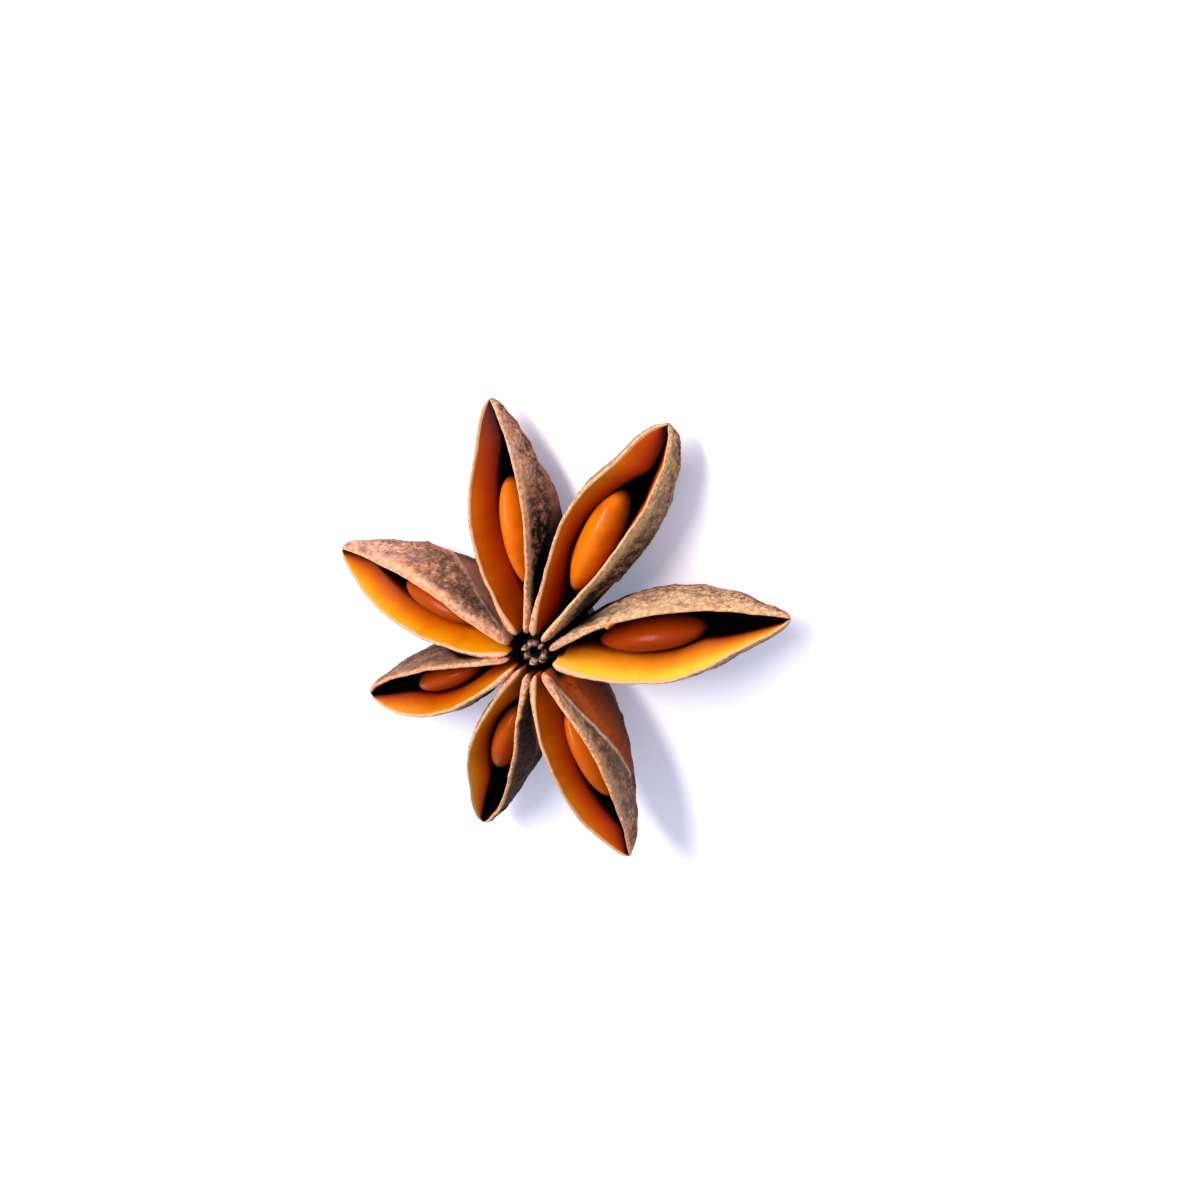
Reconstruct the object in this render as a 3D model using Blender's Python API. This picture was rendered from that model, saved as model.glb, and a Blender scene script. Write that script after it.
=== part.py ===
"""Star anise pod: a dry woody star of seven boat-shaped follicles round a short column, each split open
along its upper seam with one glossy seed inside. It lies on its back with the open seams up.

Units are metres, +Z is up, and the floor that the pod lies on is z = 0."""

import math

import bmesh
import bpy
from mathutils import Vector, noise

MM = 0.001

# Where the pod's own axis stands, so that the origin is the middle of the pod's footprint.
HUB_X = -0.07 * MM
HUB_Y = -0.09 * MM
SEAM_TOP = 7.0 * MM          # height of the seams where they meet at the hub
HUB_RADIUS = 1.35 * MM       # where the seams start to be measured, from the hub's axis
PIT_X = -0.36 * MM           # how far the inner ends and the column stand off the place where the
PIT_Y = -0.42 * MM           # bearings meet
DRAWN_IN = 0.5               # share of the length over which the follicles are drawn to that side

# One row for each follicle, counted anticlockwise from above:
# bearing in degrees, then millimetres: length, rise of the seam in mid length, drop of the beak,
# widest half opening, share of the length where it is widest, sideways bend of the beak, depth of the
# boat, swell of the left and of the right side beyond the lip, distance from the axis where the lips begin.
FOLLICLES = {
    "right":       (6.5, 16.2, 0.6, 3.7, 2.2, 0.50, 0.8, 7.4, 0.65, 0.55, 1.65),
    "upper_right": (63.0, 16.6, -0.6, 4.2, 2.0, 0.60, -1.5, 6.8, 0.35, 1.00, 1.55),
    "top":         (105.0, 15.2, 0.0, 4.3, 2.0, 0.54, -0.6, 7.1, 0.45, 0.35, 1.65),
    "upper_left":  (167.5, 16.3, 1.3, 4.2, 1.8, 0.54, -0.3, 7.6, 0.55, 0.60, 1.65),
    "lower_left":  (205.0, 16.3, 2.4, 4.0, 1.4, 0.54, -0.6, 7.6, 0.55, 0.55, 1.65),
    "bottom":      (241.5, 16.5, 0.8, 3.9, 1.55, 0.57, 0.4, 7.4, 0.50, 0.60, 1.35),
    "lower_right": (292.0, 14.5, 2.5, 0.8, 1.8, 0.52, -0.7, 6.9, 0.40, 0.55, 1.35),
}

# Seeds: distance of the middle from the hub's axis, half length, half height, half thickness, depth of
# the middle below the seam, shift to the left, all in millimetres.
SEEDS = {
    "right":       (7.9, 3.6, 2.0, 1.15, 2.8, 0.15),
    "upper_right": (8.4, 3.7, 1.9, 1.30, 2.5, -0.15),
    "top":         (7.7, 3.5, 1.8, 1.05, 2.5, -0.25),
    "upper_left":  (8.0, 3.5, 1.9, 1.05, 2.7, -0.30),
    "lower_left":  (8.7, 3.1, 1.9, 0.95, 2.8, -0.20),
    "bottom":      (9.0, 3.2, 1.9, 1.10, 2.8, 0.00),
    "lower_right": (8.1, 3.4, 1.7, 1.00, 2.5, 0.10),
}

HUB_LIP = 0.50 * MM          # thickness of the shell at the seam's edge, by the hub
LIP = 0.25 * MM              # and along the open seam
BEAK_LIP = 0.16 * MM
SLIT = 0.22 * MM             # gap between neighbouring follicles where they were pressed together
SEAM_GAP = 0.13 * MM         # half opening of the seam at the hub
BEAK_GAP = 0.06 * MM         # half opening of the seam at the beak
BELLY_DEPTH = 0.34           # share of the depth where the outer side is widest
WALL = 0.55 * MM             # least thickness of the side walls below the lip
FLOOR_WALL = 1.0 * MM        # thickness of the shell along the back
BACK_ROUNDNESS = 2.5         # exponent of the back's rounded section, 2 is an ellipse
CAVITY_ROUNDNESS = 1.9
SEED_CLEARANCE = 0.34 * MM

STATIONS = 20                # sections along a follicle
OUTER_STEPS = 20             # steps round the outside of a section
INNER_STEPS = 8              # steps round the inside
WRINKLE = 0.30 * MM          # height of the wrinkles on the back


def mix(a, b, share):
    return a + (b - a) * share


def hump(u, widest):
    """0 at both ends and 1 at the widest place, nearly straight at the ends."""
    rise, fall = 2.0 * widest, 2.0 * (1.0 - widest)
    return (u ** rise) * ((1.0 - u) ** fall) / ((widest ** rise) * ((1.0 - widest) ** fall))


class Follicle:
    """One boat-shaped fruitlet in its own frame: x outwards from the hub's axis, y sideways, z up."""

    def __init__(self, name, left_space, right_space):
        (bearing, length, rise, drop, opening, widest, bend, depth, left_swell, right_swell,
         start) = FOLLICLES[name]
        self.name = name
        self.bearing = math.radians(bearing)
        self.length, self.rise, self.drop = length * MM, rise * MM, drop * MM
        self.opening, self.widest = opening * MM, widest
        self.bend, self.depth = bend * MM, depth * MM
        self.begin = (start * MM - HUB_RADIUS) / self.length
        self.swell = {1: left_swell * MM, -1: right_swell * MM}
        self.space = {1: math.radians(left_space) / 2, -1: math.radians(right_space) / 2}
        self.seed = [value * MM for value in SEEDS[name]]

    def along(self, u):
        return HUB_RADIUS + self.length * u

    def middle(self, u):
        return self.bend * u * u

    def seam(self, u):
        return SEAM_TOP + 2 * u * (1 - u) * self.rise - u * u * self.drop

    def half_opening(self, u):
        ends = mix(SEAM_GAP, BEAK_GAP, u)
        return ends + (self.opening - ends) * hump(u, self.widest)

    def lip(self, u):
        return mix(HUB_LIP, LIP, u / 0.3) if u < 0.3 else mix(LIP, BEAK_LIP, (u - 0.3) / 0.7)

    def back_depth(self, u):
        """Depth of the back below the seam: deep near the hub, running out to the beak."""
        swell = 0.82 + 0.22 * math.sin(math.pi / 2 * min(1.0, u / 0.4))
        return mix(0.55 * MM, self.depth * swell, (1 - u ** 2.2) ** 1.1)

    def seed_side(self, u, sign):
        """How far the seed and its clearance reach on one side."""
        place, half_length, _, half_thickness, _, aside = self.seed
        t = (self.along(u) - place) / (half_length + SEED_CLEARANCE)
        return (half_thickness + SEED_CLEARANCE + sign * aside) * math.sqrt(max(0.0, 1 - t * t))

    def side(self, u, sign):
        """Outer half width on one side: a free swell, held in where the neighbour presses."""
        rim = self.half_opening(u) + self.lip(u)
        free = rim + self.swell[sign] * math.sin(math.pi * mix(0.06, 0.98, u)) ** 0.6
        pressed = self.along(u) * math.tan(self.space[sign]) - SLIT / 2 - sign * self.middle(u)
        return min(free, max(pressed, self.half_opening(u) + 0.3 * MM))

    def cavity_side(self, u, sign):
        wanted = max(0.9 * self.half_opening(u), self.seed_side(u, sign))
        return max(0.05 * MM, min(wanted, self.side(u, sign) - WALL * mix(0.75, 0.45, u)))

    def outer_point(self, u, share, sign):
        """A point of the outside: share is 0 at the lip and 1 at the back's keel."""
        depth = self.back_depth(u)
        belly = depth * BELLY_DEPTH
        side = self.side(u, sign)
        rim = min(self.half_opening(u) + self.lip(u), side)
        turn = 0.3
        if share < turn:
            q = share / turn
            return mix(rim, side, q ** 0.8), -belly * q
        angle = (share - turn) / (1 - turn) * math.pi / 2
        power = 2 / BACK_ROUNDNESS
        across = side * max(0.0, math.cos(angle)) ** power
        return across, -belly - (depth - belly) * math.sin(angle) ** power

    def inner_point(self, u, share, sign):
        """A point of the inside: share is 0 at the lip and 1 at the bottom of the cavity."""
        depth = max(0.14 * MM, self.back_depth(u) - mix(FLOOR_WALL, 0.4 * MM, u))
        belly = depth * 0.42
        side = self.cavity_side(u, sign)
        turn = 0.35
        if share < turn:
            q = share / turn
            return mix(self.half_opening(u), side, q), -belly * q
        angle = (share - turn) / (1 - turn) * math.pi / 2
        power = 2 / CAVITY_ROUNDNESS
        across = side * max(0.0, math.cos(angle)) ** power
        return across, -belly - (depth - belly) * math.sin(angle) ** power

    def wrinkles(self, u, share, sign, spot):
        """How far the dried skin stands out: long ridges on the back, little where neighbours pressed."""
        on_back = max(0.0, min(1.0, (share - 0.2) / 0.35))
        pressed = 1.0 if u > 0.45 else mix(0.25, 1.0, u / 0.45)
        ends = min(1.0, u / 0.15, (1 - u) / 0.12)
        stretched = Vector((spot.x * 200 + self.bearing * 7, spot.y * 420, spot.z * 420))
        ridge = 1 - 2 * abs(noise.noise(stretched))
        return WRINKLE * (ridge - 0.5) * mix(0.25, 1.0, on_back) * pressed * max(0.0, ends)

    def place(self, x, y, z):
        """From the follicle's frame to the pod's, with the inner end drawn to the column."""
        c, s = math.cos(self.bearing), math.sin(self.bearing)
        t = min(1.0, max(0.0, (x - HUB_RADIUS) / self.length / DRAWN_IN))
        drawn = 1 - t * t * (3 - 2 * t)
        return Vector((
            HUB_X + PIT_X * drawn + c * x - s * y,
            HUB_Y + PIT_Y * drawn + s * x + c * y,
            max(0.0, z),
        ))

    def surface(self, u, step):
        """Point number step of the closed section at u: outside from lip to lip, then back inside."""
        if step <= OUTER_STEPS:
            position = 2 * step / OUTER_STEPS - 1
            sign = 1 if position < 0 else -1
            share = 1 - abs(position)
            y, z = self.outer_point(u, share, sign)
            spot = Vector((self.along(u), sign * y, z))
            out = self.wrinkles(u, share, sign, spot)
            centre = Vector((0, -self.back_depth(u) * BELLY_DEPTH))
            away = (Vector((y, z)) - centre).normalized()
            y, z = y + out * away.x, z + out * away.y
        else:
            position = 1 - 2 * (step - OUTER_STEPS - 1) / INNER_STEPS
            sign = -1 if position > 0 else 1
            y, z = self.inner_point(u, 1 - abs(position), sign)
        return self.place(self.along(u), self.middle(u) + sign * y, self.seam(u) + z)


def facing_out(bm):
    bm.normal_update()
    bmesh.ops.recalc_face_normals(bm, faces=bm.faces)
    return bm


def follicle_solid(follicle):
    """A sheet rolled into a boat with a wall: its long sides are sewn together and its ends filled."""
    ring = OUTER_STEPS + INNER_STEPS + 2
    bm = bmesh.new()
    bmesh.ops.create_grid(bm, x_segments=STATIONS, y_segments=ring, size=0.5)
    for vertex in bm.verts:
        u = vertex.co.x + 0.5
        step = round((vertex.co.y + 0.5) * ring) % ring
        spaced = u - 0.05 * math.sin(2 * math.pi * u)
        u = mix(follicle.begin, 1.0, min(1.0, max(0.0, spaced)))
        vertex.co = follicle.surface(u, step)
    bmesh.ops.remove_doubles(bm, verts=bm.verts, dist=0.001 * MM)
    bmesh.ops.holes_fill(bm, edges=[e for e in bm.edges if e.is_boundary], sides=0)
    bmesh.ops.triangulate(bm, faces=bm.faces, quad_method="BEAUTY", ngon_method="BEAUTY")
    return facing_out(bm)


def hub_solid():
    """The column that carries the follicles: a pit with a small ring at the top, the stalk's scar below."""
    profile = [
        (0.0, 5.2), (0.7, 5.2), (1.0, 5.7), (2.2, 6.0), (2.8, 5.7), (2.75, 2.9), (1.9, 2.6),
        (1.05, 2.4), (0.95, 1.1), (0.7, 0.8), (0.5, 0.95), (0.4, 1.7), (0.0, 1.9),
    ]
    bm = bmesh.new()
    points = [bm.verts.new((radius * MM, 0, SEAM_TOP - depth * MM)) for radius, depth in profile]
    edges = [bm.edges.new(pair) for pair in zip(points, points[1:])]
    bmesh.ops.spin(
        bm, geom=points + edges, cent=(0, 0, 0), axis=(0, 0, 1), angle=2 * math.pi, steps=20, use_merge=True
    )
    bmesh.ops.remove_doubles(bm, verts=bm.verts, dist=0.001 * MM)
    bmesh.ops.translate(bm, verts=bm.verts, vec=(HUB_X + PIT_X, HUB_Y + PIT_Y, 0))
    return facing_out(bm)


def seed_solid(follicle):
    """A flattened egg standing on its edge, a little pointed at the hub's end."""
    place, half_length, half_height, half_thickness, depth, aside = follicle.seed
    bm = bmesh.new()
    bmesh.ops.create_uvsphere(bm, u_segments=12, v_segments=9, radius=1.0)
    u = (place - HUB_RADIUS) / follicle.length
    slope = (follicle.seam(u + 0.1) - follicle.seam(u - 0.1)) / (0.2 * follicle.length)
    for vertex in bm.verts:
        side, height, length = vertex.co.x, vertex.co.y, vertex.co.z
        pointed = 1 - 0.12 * max(0.0, -length) ** 2
        x = length * half_length
        z = height * half_height * pointed
        y = side * half_thickness * pointed
        across = follicle.middle(u) + aside + y
        vertex.co = follicle.place(place + x - slope * z, across, follicle.seam(u) - depth + z + slope * x)
    return facing_out(bm)


def material(name, colour, roughness):
    made = bpy.data.materials.new(name)
    made.use_nodes = True
    shader = made.node_tree.nodes["Principled BSDF"]
    shader.inputs["Base Color"].default_value = (*colour, 1)
    shader.inputs["Roughness"].default_value = roughness
    shader.inputs["Metallic"].default_value = 0.0
    return made


def add(name, bm, finish):
    mesh = bpy.data.meshes.new(name)
    bm.to_mesh(mesh)
    bm.free()
    mesh.materials.append(finish)
    made = bpy.data.objects.new(name, mesh)
    bpy.context.scene.collection.objects.link(made)
    return made


def join(target, pieces):
    """One Boolean union of the target with a collection of pieces, applied."""
    group = bpy.data.collections.new("joined")
    bpy.context.scene.collection.children.link(group)
    for piece in pieces:
        bpy.context.scene.collection.objects.unlink(piece)
        group.objects.link(piece)
    union = target.modifiers.new("union", "BOOLEAN")
    union.operation = "UNION"
    union.solver = "EXACT"
    union.operand_type = "COLLECTION"
    union.collection = group
    graph = bpy.context.evaluated_depsgraph_get()
    target.data = bpy.data.meshes.new_from_object(target.evaluated_get(graph))
    target.modifiers.clear()
    for piece in pieces:
        bpy.data.objects.remove(piece)
    bpy.data.collections.remove(group)


def follicles():
    """Every follicle, each knowing the angle to its neighbours."""
    names = list(FOLLICLES)
    made = []
    for i, name in enumerate(names):
        here = FOLLICLES[name][0]
        left = (FOLLICLES[names[(i + 1) % len(names)]][0] - here) % 360
        right = (here - FOLLICLES[names[i - 1]][0]) % 360
        made.append(Follicle(name, left, right))
    return made


def main():
    for old in list(bpy.data.objects):
        bpy.data.objects.remove(old)
    husk_finish = material("dried_husk", (0.20, 0.095, 0.045), 0.8)
    seed_finish = material("seed_coat", (0.42, 0.13, 0.02), 0.2)
    husk = add("husk", hub_solid(), husk_finish)
    made = follicles()
    join(husk, [add("follicle_" + f.name, follicle_solid(f), husk_finish) for f in made])
    for f in made:
        seed = add("seed_" + f.name, seed_solid(f), seed_finish)
        seed.data.shade_smooth()


main()
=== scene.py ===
import math

import bmesh
import bpy
import numpy as np
from mathutils import Matrix, Vector, noise


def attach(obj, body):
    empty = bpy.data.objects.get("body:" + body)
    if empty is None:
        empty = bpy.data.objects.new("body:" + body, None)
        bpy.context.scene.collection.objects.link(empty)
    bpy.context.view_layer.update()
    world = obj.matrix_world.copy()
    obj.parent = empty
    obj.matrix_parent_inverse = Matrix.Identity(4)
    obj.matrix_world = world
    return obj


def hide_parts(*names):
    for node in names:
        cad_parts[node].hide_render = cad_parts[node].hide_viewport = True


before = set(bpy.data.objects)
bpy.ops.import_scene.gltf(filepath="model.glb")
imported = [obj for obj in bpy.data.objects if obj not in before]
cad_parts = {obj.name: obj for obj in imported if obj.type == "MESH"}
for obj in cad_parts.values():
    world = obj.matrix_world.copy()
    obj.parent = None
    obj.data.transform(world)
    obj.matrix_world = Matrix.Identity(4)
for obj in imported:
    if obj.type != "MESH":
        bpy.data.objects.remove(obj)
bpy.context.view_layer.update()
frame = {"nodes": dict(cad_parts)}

mm = 0.001
print("frame loaded:", ", ".join(frame["nodes"]))


# Colours are written as they look on a screen and turned to linear light here.
def linear(hexColour):
    channels = [int(hexColour[i:i + 2], 16) / 255 for i in (1, 3, 5)]
    return tuple(c / 12.92 if c <= 0.04045 else ((c + 0.055) / 1.055) ** 2.4 for c in channels) + (1.0,)


def addNode(tree, kind, settings=None, links=None):
    node = tree.nodes.new(kind)
    for key, value in (settings or {}).items():
        if key in node.inputs:
            node.inputs[key].default_value = value
        else:
            setattr(node, key, value)
    for key, source in (links or {}).items():
        tree.links.new(source, node.inputs[key])
    return node


def mix(a, b, share):
    return a + (b - a) * share


def ramp(x, low, high):
    t = np.clip((x - low) / (high - low), 0, 1)
    return t * t * (3 - 2 * t)


def bell(x, middle, width):
    return np.exp(-((x - middle) / width) ** 2)


def grain(points, size, seed):
    moved = points / size + np.array([seed * 7.3, seed * 3.1, seed * 5.7])
    return np.array([noise.noise(p) for p in moved.tolist()])


def pebbles(points, size, seed):
    moved = points / size + np.array([seed * 4.7, seed * 6.1, seed * 2.9])
    return 1 - np.array([noise.voronoi(p)[0][0] for p in moved.tolist()])


# The pod as a whole, in millimetres.
pod = {
    "hub": (-0.07, -0.09),      # where the bearings meet on the floor
    "pit": (-0.36, -0.42),      # how far the inner ends and the column stand off that place
    "seamTop": 7.0,             # height of the seams at the hub
    "hubRadius": 1.35,          # ring that the inner ends of the seams leave open
    "seamGap": 0.09,            # half opening of a seam at the hub
    "beakGap": 0.06,            # and at the beak
    "lip": (0.58, 0.25, 0.16),  # edge thickness at the hub, along the seam and at the beak
    "waves": ((0.13, 2.6), (0.05, 0.75)),   # height and length of the waves in a lip's line
    "slit": 0.22,               # gap where two follicles were pressed together
    "belly": 0.34,              # share of the depth where the outside is widest
    "beakDepth": 0.55,          # depth of a follicle at its beak
    "wall": 0.30,               # least thickness of the side walls
    "floorWall": (0.9, 0.35),   # thickness of the back at the hub and at the beak
    "seedRoom": 0.12,           # clearance at a seed's sides
    "pocketEnds": 1.1,          # how far the pocket reaches past a seed's ends
    "foldDepth": (0.32, 2.2),   # depth of the fold from valve to pocket, as a share and at most
    "least": 0.03,              # least half width of an opening
    "lengthSteps": 190,
    "outsideSteps": 162,
    "insideSteps": 78,
}

# One row for each follicle, anticlockwise from above. Lengths are in mm. A pair has the left side first, as
# seen from the hub.
follicles = {
    "right": {
        "start": 1.65,                  # from the pod's axis to the inner ends of its lips
        "bearing": 6.5,                 # in degrees
        "length": 16.2,
        "rise": 0.6, "drop": 3.7,       # how the seam rises half way and drops at the beak
        "bend": 0.8,                    # how far the beak bends to the left
        "opening": 2.2,                 # half opening between the lips at its widest
        "widest": 0.50,                 # share of the length where that is
        "depth": 7.4,                   # from the seam to the back
        "swell": (0.65, 0.55),          # how far each side stands out past its lip
        "slim": (0.4, 0.0),             # share of the swell that is lost towards the beak
        "pinch": (0.0, 0.2),            # share by which a lip fills out half way and draws in near the beak
        "flare": (0.1, 1.0),            # 1 is a valve that leans out like a V, 0 one that stands upright
        "across": -0.3,                 # half openings by which a leaning valve passes the middle
        "crease": ((2.6, 0.34), (2.4, 0.5)),        # depth and share of length where a pressed flank ends
        "seed": (7.9, 3.6, 2.0, 1.15, 2.8, 0.15),   # place, half length, half height, half thickness,
                                                    # depth and shift to the left
        "splinter": (4.9, 0.24, 0.11),  # place, reach and half width of a splinter on the left lip
        "lining": (0.60, 0.88),         # tones from 0, dark, to 1, pale, partly painted light and shade
        "beakShade": 0.1,                    # painted shade: how much the lining darkens to the beak
        # tones of each side's skin, from dark to pale, partly painted shade
        "skin": (0.95, 0.60),
        "coat": 0.02,                   # tone of the seed, partly painted shade
        "warmth": 0.85,                 # tint of the skin from 0, rosy, to 1, creamy
        "crag": 0.15,                   # how dark and torn the shoulders are
    },
    "upper_right": {
        "start": 1.55, "bearing": 63.0, "length": 16.6, "rise": -0.6, "drop": 4.2, "bend": -1.5,
        "opening": 2.0, "widest": 0.60, "depth": 6.8, "swell": (0.35, 1.0), "slim": (0.0, 0.0),
        "pinch": (0.3, 0.0), "flare": (1.0, 0.1), "across": 0.85, "crease": ((2.4, 0.45), (2.8, 0.42)),
        "seed": (8.4, 3.7, 1.9, 1.3, 2.5, -0.15), "lining": (0.41, 0.41), "beakShade": 0.16,
        "skin": (0.60, 0.60), "coat": 1.0, "warmth": 0.9, "crag": 0.9,
    },
    "top": {
        "start": 1.65, "bearing": 105.0, "length": 15.2, "rise": 0.0, "drop": 4.3, "bend": -0.6,
        "opening": 2.0, "widest": 0.54, "depth": 7.1, "swell": (0.45, 0.35), "slim": (0.0, 0.5),
        "pinch": (0.22, 0.0), "flare": (1.0, 0.1), "across": 0.7, "crease": ((2.4, 0.45), (3.0, 0.45)),
        "seed": (7.7, 3.5, 1.8, 1.05, 2.5, -0.25), "lining": (0.34, 0.40), "beakShade": 0.42,
        "skin": (0.60, 0.85), "coat": 0.95, "warmth": 0.15, "crag": 1.0,
    },
    "upper_left": {
        "start": 1.65, "bearing": 167.5, "length": 16.3, "rise": 1.3, "drop": 4.2, "bend": -0.3,
        "opening": 1.8, "widest": 0.54, "depth": 7.6, "swell": (0.55, 0.95), "slim": (0.0, 0.0),
        "pinch": (0.0, 0.0), "flare": (1.0, 0.1), "across": 0.6, "crease": ((2.4, 0.45), (4.6, 0.5)),
        "seed": (8.0, 3.5, 1.9, 1.05, 2.7, -0.3), "lining": (0.66, 0.50), "beakShade": 0.0,
        "skin": (0.70, 1.00), "coat": 0.18, "warmth": 0.1, "crag": 0.7,
    },
    "lower_left": {
        "start": 1.65, "bearing": 205.0, "length": 16.3, "rise": 2.4, "drop": 4.0, "bend": -0.6,
        "opening": 1.5, "widest": 0.54, "depth": 7.6, "swell": (0.55, 0.55), "slim": (0.0, 0.5),
        "pinch": (0.0, 0.0), "flare": (1.0, 0.1), "across": 0.0, "crease": ((2.4, 0.45), (2.0, 0.36)),
        "seed": (8.7, 3.1, 1.9, 0.95, 2.8, -0.2), "lining": (0.50, 0.40), "beakShade": -0.1,
        "skin": (0.70, 0.45), "coat": 0.12, "warmth": 0.3, "crag": 0.3,
    },
    "bottom": {
        "start": 1.35, "bearing": 241.5, "length": 16.5, "rise": 0.8, "drop": 3.9, "bend": 0.4,
        "opening": 1.55, "widest": 0.57, "depth": 7.4, "swell": (0.5, 0.6), "slim": (0.6, 0.0),
        "pinch": (0.0, 0.12), "flare": (0.1, 1.0), "across": -0.1, "crease": ((2.4, 0.45), (2.4, 0.4)),
        "seed": (9.0, 3.2, 1.9, 1.1, 2.8, 0.0), "lining": (0.30, 0.64), "beakShade": 0.04,
        "skin": (0.05, 0.60), "coat": 0.3, "warmth": 0.9, "crag": 0.3,
    },
    "lower_right": {
        "start": 1.35, "bearing": 292.0, "length": 14.5, "rise": 2.5, "drop": 0.8, "bend": -0.7,
        "opening": 1.8, "widest": 0.52, "depth": 6.9, "swell": (0.4, 0.55), "slim": (0.6, 0.0),
        "pinch": (0.0, 0.0), "flare": (0.1, 1.0), "across": 0.6, "crease": ((2.5, 0.62), (2.4, 0.45)),
        "seed": (8.1, 3.4, 1.7, 1.0, 2.5, 0.1), "lining": (0.40, 0.40), "beakShade": 0.1,
        "skin": (0.60, 0.60), "coat": 0.5, "warmth": 0.45, "crag": 0.6,
    },
}

names = list(follicles)
for i, name in enumerate(names):
    f = follicles[name]
    f["number"] = i + 1
    f["begin"] = (f["start"] - pod["hubRadius"]) / f["length"]
    leftSpace = (follicles[names[(i + 1) % len(names)]]["bearing"] - f["bearing"]) % 360
    rightSpace = (f["bearing"] - follicles[names[i - 1]]["bearing"]) % 360
    f["space"] = (math.radians(leftSpace) / 2, math.radians(rightSpace) / 2)


def hump(u, widest):
    rise, fall = 2 * widest, 2 * (1 - widest)
    u = np.clip(u, 0, 1)
    return (u ** rise) * ((1 - u) ** fall) / ((widest ** rise) * ((1 - widest) ** fall))


def seam(f, u):
    return pod["seamTop"] + 2 * u * (1 - u) * f["rise"] - u * u * f["drop"]


def backDepth(f, u):
    swell = 0.82 + 0.22 * np.sin(math.pi / 2 * np.minimum(1, u / 0.4))
    return mix(pod["beakDepth"], f["depth"] * swell, (1 - np.clip(u, 0, 1) ** 2.2) ** 1.1)


# From a follicle's own frame to the pod's, with the inner end drawn to the column.
def toPod(f, out, across):
    angle = math.radians(f["bearing"])
    drawn = 1 - ramp((out - pod["hubRadius"]) / f["length"], 0.0, 0.5)
    x = pod["hub"][0] + pod["pit"][0] * drawn + math.cos(angle) * out - math.sin(angle) * across
    y = pod["hub"][1] + pod["pit"][1] * drawn + math.sin(angle) * out + math.cos(angle) * across
    return x, y


# What a section needs, in mm, at the shares u of the length and for the side that each point is on.
def sectionSizes(f, u, sign):
    left = sign > 0
    number = f["number"]
    out = pod["hubRadius"] + f["length"] * u
    middle = f["bend"] * u * u
    depth = backDepth(f, u)

    # Half the opening between the lips.
    edge = np.stack([u * f["length"], sign * 3.0, np.zeros_like(u)], axis=1)    # each lip waves on its own
    (longWave, longSize), (shortWave, shortSize) = pod["waves"]
    wave = longWave * grain(edge, longSize, number) + shortWave * grain(edge, shortSize, number + 20)
    wave *= ramp(u, 0.08, 0.25) * (1 - ramp(u, 0.85, 1.0))
    ends = mix(pod["seamGap"], pod["beakGap"], u)
    half = ends + (f["opening"] - ends) * hump(u, f["widest"]) + wave
    pinch = 0.35 * bell(u, 0.42, 0.16) - bell(u, 0.82, 0.13)
    half = half * (1 + np.where(left, *f["pinch"]) * pinch)
    if "splinter" in f:
        place, reach, width = f["splinter"]
        half = half - np.where(left, reach * bell(u * f["length"], place, width), 0)

    # The outside stands free, or is pressed flat half way to the next follicle.
    hubLip, openLip, beakLip = pod["lip"]
    nearHub = mix(hubLip, openLip, ramp(u, 0.02, 0.25))
    lip = np.where(u < 0.25, nearHub, mix(openLip, beakLip, (u - 0.25) / 0.75))
    swell = np.where(left, *f["swell"]) * (1 - np.where(left, *f["slim"]) * ramp(u, 0.45, 0.80))
    free = half + lip + swell * np.sin(math.pi * mix(0.06, 0.98, u)) ** 0.6
    slit = pod["slit"] * ramp(out, 3.2, 6.0)
    pressed = out * np.tan(np.where(left, *f["space"])) - slit / 2 - sign * middle
    side = np.minimum(free, np.maximum(pressed, half + pod["wall"]))
    lip = np.minimum(lip, side - half)

    # The valve folds to the pocket, which leaves room for the seed and for the wall.
    seedAt, halfLength, _, halfThickness, _, aside = f["seed"]
    t = (out - seedAt) / (halfLength + pod["pocketEnds"])
    seedSide = (halfThickness + pod["seedRoom"] + sign * aside) * (1 - t * t)
    flare = np.where(left, *f["flare"])
    room = side - pod["wall"] * mix(1.3, 0.7, u)
    wanted = (mix(0.9, 0.10, flare) - f["across"] * flare * ramp(u, 0.50, 0.82)) * half
    wider = (wanted + seedSide + np.sqrt((wanted - seedSide) ** 2 + 0.05)) / 2
    fold = np.minimum(wider, np.minimum(0.93 * half, room))
    pocket = np.clip(np.maximum(fold, seedSide), pod["least"], np.maximum(room, pod["least"]))
    inner = np.maximum(0.12, depth - mix(*pod["floorWall"], u))
    return {
        "half": np.maximum(half, pod["least"]), "lip": lip, "side": side, "depth": depth, "fold": fold,
        "pocket": pocket, "inner": inner, "out": out, "middle": middle,
    }


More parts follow.
